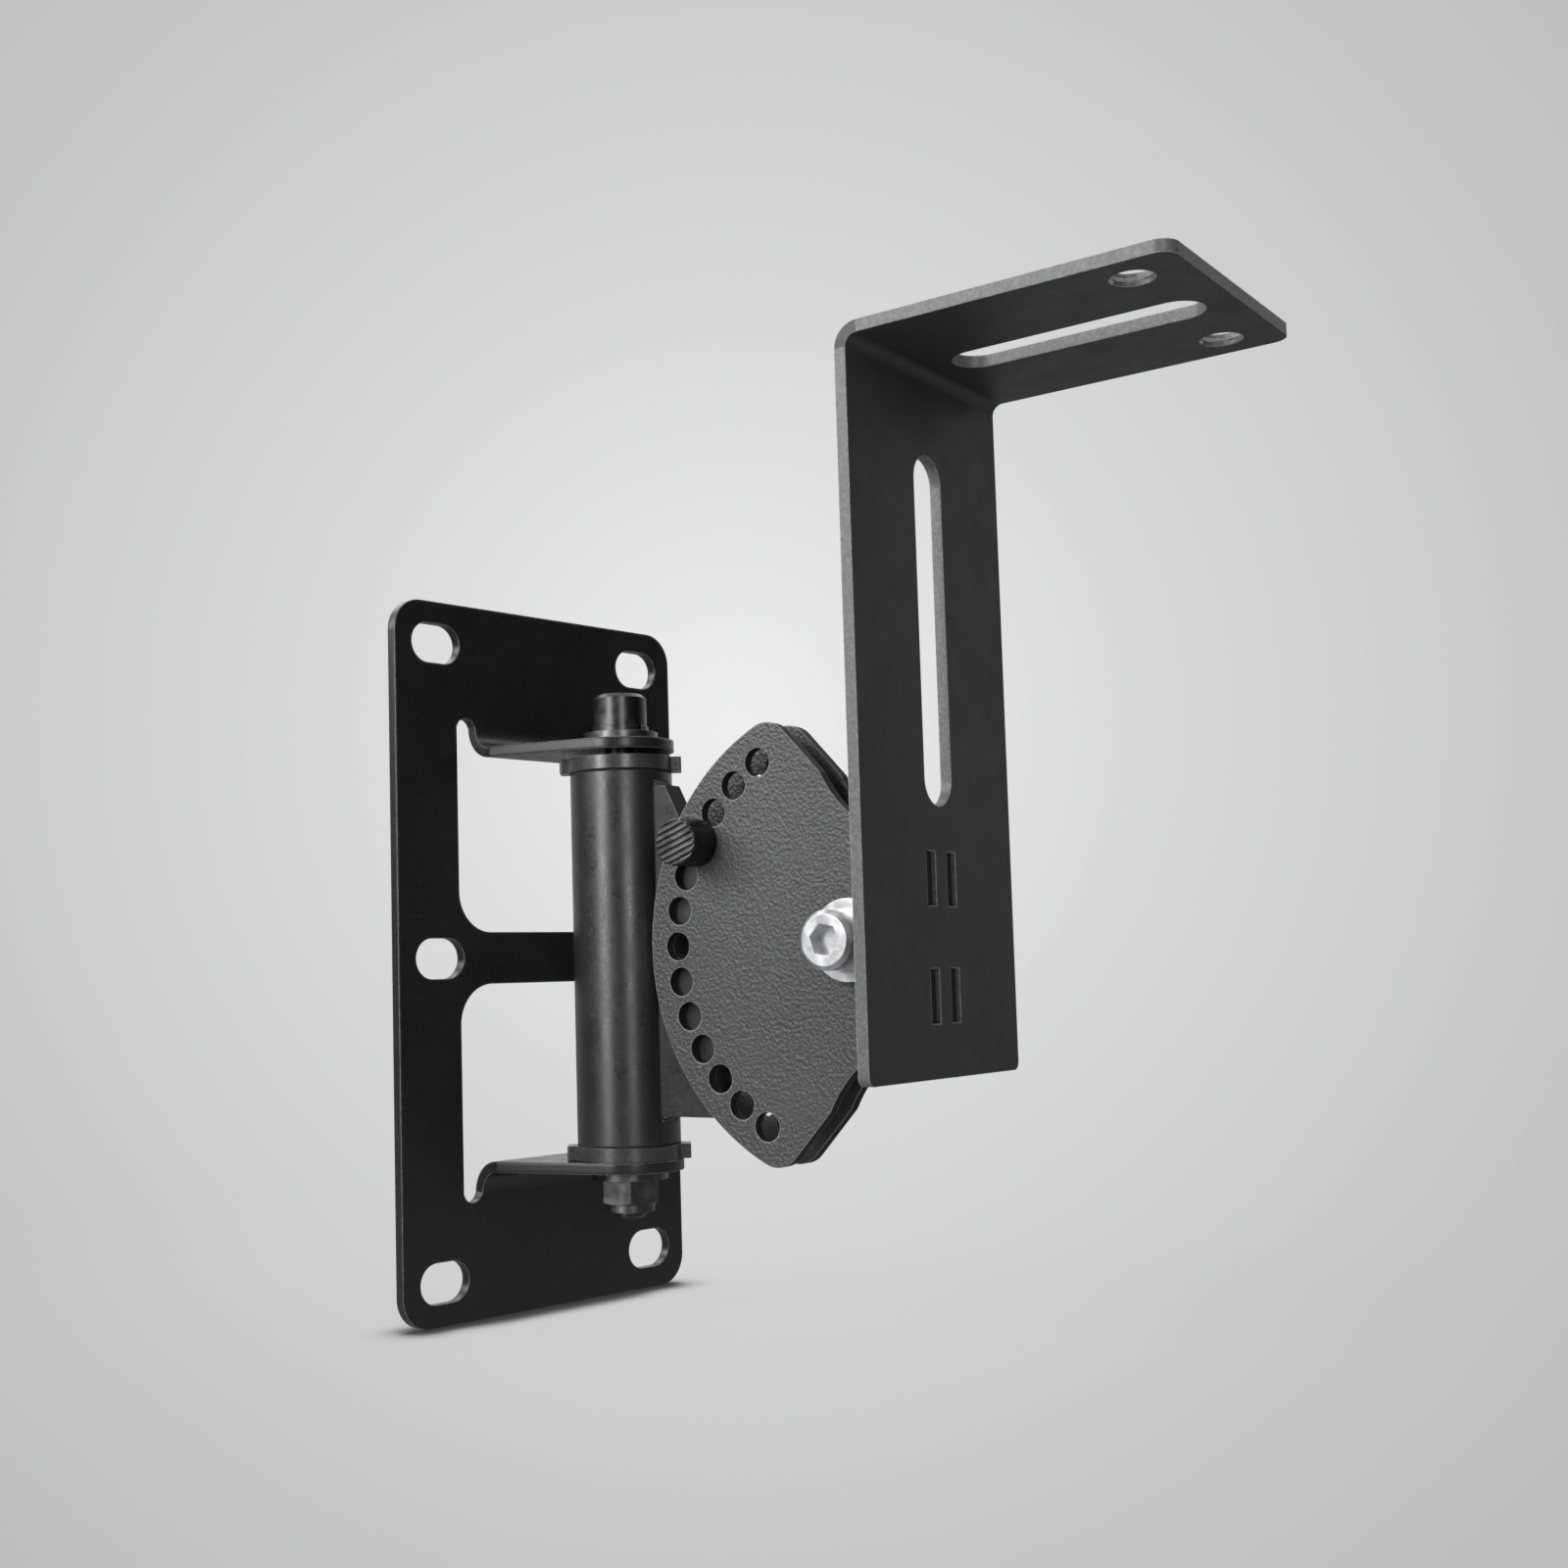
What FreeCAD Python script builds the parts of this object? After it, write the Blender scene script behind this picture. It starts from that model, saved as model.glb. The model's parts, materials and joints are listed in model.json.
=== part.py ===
import FreeCAD, Part
import math
import os

# Speaker wall bracket, all sizes in millimetres.
# The origin is the middle of the wall plate's back face, on the wall.
# +X points out of the wall, +Z up, and the near side of the photograph is -Y.
# The arm is modelled straight out from the wall and then swung by the swivel angle.

# Pose of the arm
swivel_angle = 7.5

# Wall plate, one folded sheet with two ears
plate_width = 71.0
plate_height = 133.0
plate_sheet = 2.0
plate_corner = 6.0
screw_slot_width = 7.5
screw_slot_length = 11.2
screw_slot_spacing = 52.0
screw_row_spacing = 117.4
window_width = 42.6
window_corner = 7.5
crossbar_height = 9.7
relief_width = 4.4
relief_reach = 5.6
ear_bend = 4.0
ear_end_radius = 10.0

# Hinge: tube, two flanged bushes and the bolt through them
tube_axis_x = 24.0
tube_length = 68.6
tube_diameter = 19.0
tube_wall = 2.0
bush_flange = 2.6
bush_flange_diameter = 19.6
bush_stem = 9.0
bush_lug_reach = 11.3
bush_lug_width = 5.0
bush_lug_angle = 36.0
bush_lug_edge = 0.4
running_fit = 0.08
top_end_play = 1.15
foot_play = 0.05
bolt_hole_play = 0.3

# Hardware, M6 and its washers
thread_diameter = 6.0
cap_head_diameter = 10.0
cap_head_height = 6.0
cap_head_edge = 0.7
hex_socket_flats = 5.0
hex_socket_depth = 3.2
hinge_nut_turn = 44.0
tilt_socket_turn = 12.0
washer_sheet = 1.6
washer_diameter = 14.0
lock_washer_sheet = 1.2
lock_washer_diameter = 10.6
lock_washer_split = 1.0
nut_flats = 10.0
nut_height = 4.4
nut_collar_height = 1.5
nut_collar_diameter = 8.8
nut_ring_diameter = 7.8
nut_ring_height = 1.1
bolt_point_beyond_nut = 1.2
thread_play = 0.04

# Tongue plate, welded to the tube
tongue_sheet = 4.5
tongue_below_tube_top = 3.25
tongue_above_tube_bottom = 5.4
tongue_bottom_reach = 21.6
tongue_heel_height = 10.4
tongue_slope = 63.0
tongue_eye_radius = 9.5
tongue_eye_from = 100.0
tongue_eye_to = 228.0
seat_exit_angle = 300.0
tongue_hole_angle = 180.0
tongue_weld_leg = 1.2
weld_hollow = 0.4

# Sector plates, a pair with the tilt holes
pivot_z = 1.0
sector_sheet = 2.0
sector_play = 0.1
sector_rim = 3.25
sector_tube_gap = 0.3
lobe_x = 16.4
lobe_radius = 5.0
flank_top = (5.3, 28.7)
flank_mid = (0.2, 21.8)
flank_end_z = 15.6
index_radius = 36.4
index_hole_diameter = 5.1
index_step_angle = 10.0
index_count = 13
pin_hole_number = 4
tab_height = 8.4
tab_centre_z = 9.6
tab_recess = 0.5
tab_slit_width = 3.0
tab_slit_play = 0.3
sector_weld_leg = 2.4

# Index pin
pin_play = 0.09
pin_head_diameter = 8.5
pin_head_length = 7.0
pin_head_edge = 0.4
pin_point = 2.6
pin_point_chamfer = 0.8
pin_groove_pitch = 1.1
pin_groove_depth = 0.35
pin_groove_width = 0.8
pin_groove_count = 7
pin_groove_turn = 20.0

# Speaker angle, one flat bar bent square at the top
bar_width = 50.0
bar_sheet = 2.0
bar_bend = 2.0
leg_corner = 1.5
shelf_corner = 3.0
bar_height = 120.0
bar_reach = 56.0
bar_below_pivot = 23.0
bar_face_from_pivot = 15.0
bar_slot_width = 9.0
leg_slot_length = 59.0
leg_slot_from_bottom = 44.6
shelf_slot_length = 42.8
shelf_slot_from_end = 5.0
shelf_hole_diameter = 6.8
shelf_hole_spacing = 35.2
shelf_hole_from_end = 9.0

# Places that follow from the sizes above
V = FreeCAD.Vector
X_AXIS = V(1, 0, 0)
Y_AXIS = V(0, 1, 0)
Z_AXIS = V(0, 0, 1)
HINGE = V(tube_axis_x, 0, 0)
index_hole_radius = index_hole_diameter / 2
sector_radius = index_radius + index_hole_radius + sector_rim
pivot_x = tube_axis_x + tube_diameter / 2 + sector_tube_gap + sector_radius
ear_inner_z = (tube_length + 2 * bush_flange + top_end_play + foot_play) / 2
ear_outer_z = ear_inner_z + plate_sheet
ear_width = window_width - 2 * relief_width
relief_top_z = ear_outer_z + relief_reach
bolt_radius = thread_diameter / 2
tube_bottom_z = foot_play + bush_flange - ear_inner_z
tube_top_z = tube_bottom_z + tube_length
tongue_top_z = tube_top_z - tongue_below_tube_top
tongue_bottom_z = tube_bottom_z + tongue_above_tube_bottom
tongue_gap = tongue_sheet + 2 * sector_play
sector_outer_y = tongue_gap / 2 + sector_sheet
pin_radius = index_hole_radius - pin_play
pin_angle = 180.0 - (index_count // 2 + 1 - pin_hole_number) * index_step_angle
bar_face_x = pivot_x + bar_face_from_pivot
bar_back_x = bar_face_x - bar_sheet
bar_bottom_z = pivot_z - bar_below_pivot
bar_top_z = bar_bottom_z + bar_height
bar_end_x = bar_back_x + bar_reach


def polar(x, z, radius, degrees):
    # a point of the XZ plane at an angle from +X towards +Z
    a = math.radians(degrees)
    return V(x + radius * math.cos(a), 0, z + radius * math.sin(a))


def line(a, b):
    return Part.LineSegment(a, b).toShape()


def arc(a, b, c):
    return Part.Arc(a, b, c).toShape()


def prism(edges, direction):
    # the closed outline's face, swept along a straight direction
    wire = Part.Wire(Part.__sortEdges__(edges))
    return Part.Face(wire).extrude(direction)


def cylinder(radius, length, base, direction):
    return Part.makeCylinder(radius, length, base, direction)


def revolved(points, base, direction):
    # a turned piece: points are (radius, distance along the axis) from the base
    outline = Part.makePolygon([V(r, 0, d) for r, d in points + [points[0]]])
    turned = Part.Face(outline).revolve(V(0, 0, 0), Z_AXIS, 360)
    turned.Placement = FreeCAD.Placement(base, FreeCAD.Rotation(Z_AXIS, direction))
    return turned


def hexagon(flats, length, base, direction, turn):
    # a hexagonal prism along the direction, one corner at the given turn
    corner = flats / math.sqrt(3)
    angles = [math.radians(turn + 60 * i) for i in range(7)]
    outline = Part.makePolygon([V(corner * math.cos(a), corner * math.sin(a), 0) for a in angles])
    solid = Part.Face(outline).extrude(Z_AXIS * length)
    solid.Placement = FreeCAD.Placement(base, FreeCAD.Rotation(Z_AXIS, direction))
    return solid


def obround(length, width, depth, centre, along, through):
    # a round-ended slot: its long way, its depth direction and its middle
    across = through.cross(along)
    half = (length - width) / 2
    r = width / 2
    a = centre - along * half - across * r
    b = centre + along * half - across * r
    c = centre + along * half + across * r
    d = centre - along * half + across * r
    edges = [line(a, b), arc(b, centre + along * (half + r), c),
             line(c, d), arc(d, centre - along * (half + r), a)]
    tool = prism(edges, through * depth)
    tool.translate(through * (-depth / 2))
    return tool


def rounded_corners(solid, direction, radius, wanted):
    # fillets every straight edge that runs along the direction and is wanted
    edges = []
    for edge in solid.Edges:
        if not isinstance(edge.Curve, Part.Line):
            continue
        along = edge.tangentAt(edge.FirstParameter)
        if abs(along.dot(direction)) > 0.999 and wanted(edge.CenterOfMass):
            edges.append(edge)
    return solid.makeFillet(radius, edges)


def swung(shape):
    # turns a piece of the arm about the hinge to the angle it stands at
    turned = shape.copy()
    turned.rotate(HINGE, Z_AXIS, swivel_angle)
    return turned


# The wall plate

def ear_blank(side):
    # one ear with its bend, before its round end: side is +1 at the top
    out = ear_bend + plate_sheet
    reach = tube_axis_x + ear_end_radius
    inner = ear_inner_z
    outer = ear_outer_z
    centre = V(out, 0, outer + ear_bend)
    middle = math.radians(225)
    profile = [
        line(V(0, 0, outer + ear_bend), V(plate_sheet, 0, outer + ear_bend)),
        arc(V(plate_sheet, 0, outer + ear_bend),
            centre + V(ear_bend * math.cos(middle), 0, ear_bend * math.sin(middle)),
            V(out, 0, outer)),
        line(V(out, 0, outer), V(reach, 0, outer)),
        line(V(reach, 0, outer), V(reach, 0, inner)),
        line(V(reach, 0, inner), V(out, 0, inner)),
        arc(V(out, 0, inner),
            centre + V(out * math.cos(middle), 0, out * math.sin(middle)),
            V(0, 0, outer + ear_bend)),
    ]
    blank = prism(profile, Y_AXIS * ear_width)
    blank.translate(V(0, -ear_width / 2, 0))
    if side < 0:
        blank = blank.mirror(V(0, 0, 0), Z_AXIS)
    return blank


def ear_plan():
    # seen from above: straight sides from the bend, then a taper to the round end
    out = ear_bend + plate_sheet
    half = ear_width / 2
    dx = tube_axis_x - out
    reach = math.hypot(dx, half)
    lean = math.atan2(half, dx) + math.acos(ear_end_radius / reach)
    tangent = math.pi - lean
    tx = tube_axis_x + ear_end_radius * math.cos(tangent)
    ty = ear_end_radius * math.sin(tangent)
    edges = [
        line(V(0, -half, 0), V(out, -half, 0)),
        line(V(out, -half, 0), V(tx, -ty, 0)),
        arc(V(tx, -ty, 0), V(tube_axis_x + ear_end_radius, 0, 0), V(tx, ty, 0)),
        line(V(tx, ty, 0), V(out, half, 0)),
        line(V(out, half, 0), V(0, half, 0)),
        line(V(0, half, 0), V(0, -half, 0)),
    ]
    plan = prism(edges, Z_AXIS * plate_height)
    plan.translate(V(0, 0, -plate_height / 2))
    return plan


def window(side):
    # the opening that the ear was cut from, with a relief notch at each end of the bend
    low = crossbar_height / 2
    high = ear_outer_z + ear_bend
    tall = high - low
    opening = Part.makeBox(plate_sheet, window_width, tall, V(0, -window_width / 2, low))
    opening = rounded_corners(opening, X_AXIS, window_corner, lambda p: p.z < low + 1)
    notches = []
    for hand in (-1, 1):
        y = hand * (window_width - relief_width) / 2
        length = relief_top_z - high + 2 * relief_width
        centre = V(plate_sheet / 2, y, relief_top_z - length / 2)
        notches.append(obround(length, relief_width, plate_sheet, centre, Z_AXIS, X_AXIS))
    opening = opening.multiFuse(notches).removeSplitter()
    if side < 0:
        opening = opening.mirror(V(0, 0, 0), Z_AXIS)
    return opening


def wall_plate():
    plate = Part.makeBox(plate_sheet, plate_width, plate_height, V(0, -plate_width / 2, -plate_height / 2))
    plate = rounded_corners(plate, X_AXIS, plate_corner, lambda p: True)
    cuts = [window(1), window(-1)]
    for row in (-1, 0, 1):
        for hand in (-1, 1):
            centre = V(plate_sheet / 2, hand * screw_slot_spacing / 2, row * screw_row_spacing / 2)
            cuts.append(obround(screw_slot_length, screw_slot_width, 2 * plate_sheet, centre,
                                Y_AXIS, X_AXIS))
    plate = plate.cut(cuts)
    plan = ear_plan()
    for side in (-1, 1):
        plate = plate.fuse(ear_blank(side).common(plan))
    hole = cylinder(bolt_radius + bolt_hole_play, plate_height, HINGE - Z_AXIS * plate_height / 2, Z_AXIS)
    return plate.cut(hole).removeSplitter()


# Hardware

def cap_screw(seat, direction, grip, turn):
    # a socket-head cap screw: seat is the centre of the head's underside,
    # and the direction points from there along the shank
    end = grip + nut_height + nut_collar_height + bolt_point_beyond_nut
    head_r = cap_head_diameter / 2
    points = [(0, -cap_head_height), (head_r - cap_head_edge, -cap_head_height),
              (head_r, -cap_head_height + cap_head_edge), (head_r, 0), (bolt_radius, 0),
              (bolt_radius, end - cap_head_edge), (bolt_radius - cap_head_edge, end), (0, end)]
    screw = revolved(points, seat, direction)
    top = seat - direction * cap_head_height
    socket = hexagon(hex_socket_flats, hex_socket_depth, top, direction, turn)
    return screw.cut(socket)


def washer(base, direction):
    ring = cylinder(washer_diameter / 2, washer_sheet, base, direction)
    return ring.cut(cylinder(bolt_radius + bolt_hole_play, washer_sheet, base, direction))


def lock_washer(base, direction):
    # a split ring between a bolt's head and its flat washer
    outer_r = lock_washer_diameter / 2
    ring = cylinder(outer_r, lock_washer_sheet, V(0, 0, 0), Z_AXIS)
    hole = cylinder(bolt_radius + bolt_hole_play, lock_washer_sheet, V(0, 0, 0), Z_AXIS)
    split = Part.makeBox(outer_r, lock_washer_split, lock_washer_sheet, V(0, -lock_washer_split / 2, 0))
    ring = ring.cut([hole, split])
    ring.Placement = FreeCAD.Placement(base, FreeCAD.Rotation(Z_AXIS, direction))
    return ring


def lock_nut(base, direction, turn):
    # a hexagon chamfered at its outer end, and a round collar that holds the nylon ring
    corner = nut_flats / math.sqrt(3)
    chamfer = corner - nut_flats / 2
    body = hexagon(nut_flats, nut_height, base, direction, turn)
    limit = revolved([(0, 0), (corner, 0), (corner, nut_height - chamfer / 2), (nut_flats / 2, nut_height),
                      (0, nut_height)], base, direction)
    body = body.common(limit)
    top = base + direction * nut_height
    collar = cylinder(nut_collar_diameter / 2, nut_collar_height, top, direction)
    nut = body.fuse(collar).removeSplitter()
    bore = cylinder(bolt_radius + thread_play, nut_height + nut_collar_height, base, direction)
    seat_base = top + direction * (nut_collar_height - nut_ring_height)
    return nut.cut([bore, cylinder(nut_ring_diameter / 2, nut_ring_height, seat_base, direction)])


def lock_ring(nut_base, direction):
    # the nylon ring that sits in the nut's collar
    base = nut_base + direction * (nut_height + nut_collar_height - nut_ring_height)
    ring = cylinder(nut_ring_diameter / 2, nut_ring_height, base, direction)
    return ring.cut(cylinder(bolt_radius + thread_play, nut_ring_height, base, direction))


def hinge_hardware():
    out = ear_outer_z + washer_sheet
    head_seat = HINGE + Z_AXIS * (out + lock_washer_sheet)
    nut_base = HINGE - Z_AXIS * out
    down = Z_AXIS * -1
    return {
        "hinge_bolt": cap_screw(head_seat, down, 2 * out + lock_washer_sheet, 0),
        "hinge_lock_washer": lock_washer(HINGE + Z_AXIS * out, Z_AXIS),
        "hinge_washer_top": washer(HINGE + Z_AXIS * ear_outer_z, Z_AXIS),
        "hinge_washer_bottom": washer(HINGE - Z_AXIS * ear_outer_z, down),
        "hinge_nut": lock_nut(nut_base, down, hinge_nut_turn),
        "hinge_nut_ring": lock_ring(nut_base, down),
    }


def tilt_hardware():
    pivot = V(pivot_x, 0, pivot_z)
    out = sector_outer_y + washer_sheet
    near = Y_AXIS * -1
    nut_base = pivot + Y_AXIS * out
    head_seat = pivot + near * (out + lock_washer_sheet)
    pieces = {
        "tilt_bolt": cap_screw(head_seat, Y_AXIS, 2 * out + lock_washer_sheet, tilt_socket_turn),
        "tilt_lock_washer": lock_washer(pivot + near * out, near),
        "tilt_washer_near": washer(pivot + near * sector_outer_y, near),
        "tilt_washer_far": washer(pivot + Y_AXIS * sector_outer_y, Y_AXIS),
        "tilt_nut": lock_nut(nut_base, Y_AXIS, 0),
        "tilt_nut_ring": lock_ring(nut_base, Y_AXIS),
    }
    return {name: swung(piece) for name, piece in pieces.items()}


# The hinge between the ears

def bush(side):
    # a flanged bush: the stem is in the tube's end, the flange lies on its rim, the bore runs on the bolt
    stem_r = tube_diameter / 2 - tube_wall - running_fit
    flange_r = bush_flange_diameter / 2
    bore_r = bolt_radius + running_fit
    end = bush_flange + bush_stem
    points = [(bore_r, 0), (flange_r, 0), (flange_r, bush_flange), (stem_r, bush_flange), (stem_r, end),
              (bore_r, end)]
    body = revolved(points, V(0, 0, 0), Z_AXIS)
    lug_span = 2 * bush_lug_reach
    lugs = Part.makeBox(lug_span, bush_lug_width, bush_flange, V(-bush_lug_reach, -bush_lug_width / 2, 0))
    lugs = rounded_corners(lugs, Z_AXIS, bush_lug_edge, lambda p: True)
    lugs.rotate(V(0, 0, 0), Z_AXIS, bush_lug_angle if side < 0 else -bush_lug_angle)
    lugs = lugs.cut(cylinder(stem_r, bush_flange, V(0, 0, 0), Z_AXIS))
    body = body.fuse(lugs).removeSplitter()
    rim_z = tube_top_z if side > 0 else tube_bottom_z
    inward = FreeCAD.Rotation(Z_AXIS, Z_AXIS * -side)
    body.Placement = FreeCAD.Placement(HINGE + Z_AXIS * (rim_z + side * bush_flange), inward)
    return swung(body)


def tube_cylinder(radius):
    return cylinder(radius, tube_length, HINGE + Z_AXIS * tube_bottom_z, Z_AXIS)


def pivot_tube():
    outer = tube_cylinder(tube_diameter / 2)
    return swung(outer.cut(tube_cylinder(tube_diameter / 2 - tube_wall)))


def tongue_plate():
    # the upper edge falls to a half-round seat for the pin and runs on to the round eye,
    # and a closed hole lies behind one of the index holes
    seat_r = index_hole_radius
    pin = polar(pivot_x, pivot_z, index_radius, pin_angle)
    slope = math.radians(tongue_slope)
    fall = V(math.cos(slope), 0, -math.sin(slope))
    away = V(-math.sin(slope), 0, -math.cos(slope))
    touch = pin + away * seat_r
    shoulder = touch - fall * ((tongue_top_z - touch.z) / math.sin(slope))
    seat_in = math.degrees(math.atan2(away.z, away.x)) % 360
    leave = polar(pin.x, pin.z, seat_r, seat_exit_angle)
    middle = polar(pin.x, pin.z, seat_r, (seat_in + seat_exit_angle) / 2)
    upper_eye = polar(pivot_x, pivot_z, tongue_eye_radius, tongue_eye_from)
    lower_eye = polar(pivot_x, pivot_z, tongue_eye_radius, tongue_eye_to)
    corner = V(tube_axis_x + tongue_bottom_reach, 0, tongue_bottom_z)
    heel = corner + Z_AXIS * tongue_heel_height
    edges = [
        line(V(tube_axis_x, 0, tongue_top_z), shoulder),
        line(shoulder, touch),
        arc(touch, middle, leave),
        line(leave, upper_eye),
        arc(upper_eye, V(pivot_x + tongue_eye_radius, 0, pivot_z), lower_eye),
        line(lower_eye, heel),
        line(heel, corner),
        line(corner, V(tube_axis_x, 0, tongue_bottom_z)),
        line(V(tube_axis_x, 0, tongue_bottom_z), V(tube_axis_x, 0, tongue_top_z)),
    ]
    plate = prism(edges, Y_AXIS * tongue_sheet)
    plate.translate(Y_AXIS * (-tongue_sheet / 2))
    far = Y_AXIS * (-tongue_sheet / 2)
    eye = cylinder(bolt_radius + running_fit, tongue_sheet, V(pivot_x, 0, pivot_z) + far, Y_AXIS)
    hole_at = polar(pivot_x, pivot_z, index_radius, tongue_hole_angle)
    hole = cylinder(index_hole_radius, tongue_sheet, hole_at + far, Y_AXIS)
    return swung(plate.cut([tube_cylinder(tube_diameter / 2), eye, hole]))


def tongue_welds():
    # a short fillet bead on the tube over the tongue's top edge and under its bottom edge
    tube_r = tube_diameter / 2
    leg = tongue_weld_leg
    beads = []
    for side, edge_z in ((-1, tongue_bottom_z), (1, tongue_top_z)):
        inner = V(tube_axis_x + tube_r / 2, 0, edge_z)
        foot = V(tube_axis_x + tube_r + leg, 0, edge_z)
        head = V(tube_axis_x + tube_r, 0, edge_z + side * leg)
        back = V(tube_axis_x + tube_r / 2, 0, edge_z + side * leg)
        hollow = V(tube_axis_x + tube_r + leg * weld_hollow, 0, edge_z + side * leg * weld_hollow)
        bead = prism([line(inner, foot), arc(foot, hollow, head), line(head, back), line(back, inner)],
                     Y_AXIS * tongue_sheet)
        bead.translate(Y_AXIS * (-tongue_sheet / 2))
        beads.append(swung(bead.cut(tube_cylinder(tube_r))))
    return Part.makeCompound(beads)


# The arm

def sector_outline():
    # the outline about the pivot: a large arc with a small lobe at each end,
    # then a hollow flank up to the bar's back face
    back = bar_back_x - pivot_x
    centre_z = math.sqrt((sector_radius - lobe_radius) ** 2 - lobe_x ** 2)
    lobe_angle = math.degrees(math.atan2(centre_z, -lobe_x))
    points = {}
    for side in (-1, 1):
        centre = V(-lobe_x, 0, side * centre_z)
        start = V(-flank_top[0], 0, side * flank_top[1])
        # the straight part of the flank is tangent to the lobe
        gap = start - centre
        turn = math.acos(lobe_radius / gap.Length)
        heading = math.atan2(side * gap.z, gap.x) + turn
        tangent = centre + V(lobe_radius * math.cos(heading), 0, side * lobe_radius * math.sin(heading))
        on_arc = V(sector_radius * math.cos(math.radians(lobe_angle)), 0,
                   side * sector_radius * math.sin(math.radians(lobe_angle)))
        bisector = (heading + math.radians(lobe_angle)) / 2
        crown = centre + V(lobe_radius * math.cos(bisector), 0, side * lobe_radius * math.sin(bisector))
        points[side] = (on_arc, crown, tangent, start,
                        V(-flank_mid[0], 0, side * flank_mid[1]), V(back, 0, side * flank_end_z))
    edges = [arc(points[1][0], V(-sector_radius, 0, 0), points[-1][0])]
    for side in (-1, 1):
        on_arc, crown, tangent, start, mid, end = points[side]
        edges += [arc(on_arc, crown, tangent), line(tangent, start), arc(start, mid, end)]
    edges.append(line(points[-1][5], points[1][5]))
    return edges


def tab_box(side, depth, width, height, y_middle):
    # a tab, or the slit for one, from the bar's back face outwards
    z = pivot_z + side * tab_centre_z
    return Part.makeBox(depth, width, height, V(bar_back_x, y_middle - width / 2, z - height / 2))


def sector_plate(side):
    # one of the pair: side is -1 for the near plate
    middle_y = side * (tongue_gap + sector_sheet) / 2
    face_y = middle_y - sector_sheet / 2
    plate = prism(sector_outline(), Y_AXIS * sector_sheet)
    plate.translate(V(pivot_x, face_y, pivot_z))
    for tab in (-1, 1):
        plate = plate.fuse(tab_box(tab, bar_sheet - tab_recess, sector_sheet, tab_height, middle_y))
    cuts = []
    for i in range(index_count):
        angle = 180.0 - (index_count // 2 - i) * index_step_angle
        centre = polar(pivot_x, pivot_z, index_radius, angle)
        cuts.append(cylinder(index_hole_radius, sector_sheet, centre + Y_AXIS * face_y, Y_AXIS))
    pivot = V(pivot_x, face_y, pivot_z)
    cuts.append(cylinder(bolt_radius + bolt_hole_play, sector_sheet, pivot, Y_AXIS))
    return swung(plate.cut(cuts).removeSplitter())


def sector_welds():
    # fillet beads on the bar's back face along the outer side of each sector plate
    beads = []
    leg = sector_weld_leg
    half = flank_end_z - leg
    for side in (-1, 1):
        corner = V(bar_back_x, side * sector_outer_y, pivot_z - half)
        inner = corner - X_AXIS * leg
        outer = corner + Y_AXIS * side * leg
        hollow = corner + (X_AXIS * -1 + Y_AXIS * side) * leg * weld_hollow
        beads.append(swung(prism([line(corner, inner), arc(inner, hollow, outer), line(outer, corner)],
                                 Z_AXIS * 2 * half)))
    return Part.makeCompound(beads)


def speaker_angle():
    # one bar folded square: the leg stands at the sector plates, the shelf points outwards
    top = bar_top_z
    inner_z = top - bar_sheet
    out_r = bar_bend + bar_sheet
    centre = V(bar_back_x + out_r, 0, top - out_r)
    middle = math.radians(135)
    profile = [
        line(V(bar_back_x, 0, bar_bottom_z), V(bar_face_x, 0, bar_bottom_z)),
        line(V(bar_face_x, 0, bar_bottom_z), V(bar_face_x, 0, centre.z)),
        arc(V(bar_face_x, 0, centre.z),
            centre + V(bar_bend * math.cos(middle), 0, bar_bend * math.sin(middle)),
            V(centre.x, 0, inner_z)),
        line(V(centre.x, 0, inner_z), V(bar_end_x, 0, inner_z)),
        line(V(bar_end_x, 0, inner_z), V(bar_end_x, 0, top)),
        line(V(bar_end_x, 0, top), V(centre.x, 0, top)),
        arc(V(centre.x, 0, top),
            centre + V(out_r * math.cos(middle), 0, out_r * math.sin(middle)),
            V(bar_back_x, 0, centre.z)),
        line(V(bar_back_x, 0, centre.z), V(bar_back_x, 0, bar_bottom_z)),
    ]
    bar = prism(profile, Y_AXIS * bar_width)
    bar.translate(Y_AXIS * (-bar_width / 2))
    bar = rounded_corners(bar, X_AXIS, leg_corner, lambda p: p.z < bar_bottom_z + bar_sheet)
    bar = rounded_corners(bar, Z_AXIS, shelf_corner, lambda p: p.x > bar_end_x - bar_sheet)
    leg_slot_z = bar_bottom_z + leg_slot_from_bottom + leg_slot_length / 2
    shelf_slot_x = bar_end_x - shelf_slot_from_end - shelf_slot_length / 2
    leg_slot = V(bar_face_x - bar_sheet / 2, 0, leg_slot_z)
    shelf_slot = V(shelf_slot_x, 0, top - bar_sheet / 2)
    cuts = [
        obround(leg_slot_length, bar_slot_width, 2 * bar_sheet, leg_slot, Z_AXIS, X_AXIS),
        obround(shelf_slot_length, bar_slot_width, 2 * bar_sheet, shelf_slot, X_AXIS, Z_AXIS),
    ]
    for side in (-1, 1):
        base = V(bar_end_x - shelf_hole_from_end, side * shelf_hole_spacing / 2, inner_z)
        cuts.append(cylinder(shelf_hole_diameter / 2, bar_sheet, base, Z_AXIS))
        for hand in (-1, 1):
            middle_y = hand * (tongue_gap + sector_sheet) / 2
            cuts.append(tab_box(side, bar_sheet, tab_slit_width, tab_height + 2 * tab_slit_play, middle_y))
    return swung(bar.cut(cuts))


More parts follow.
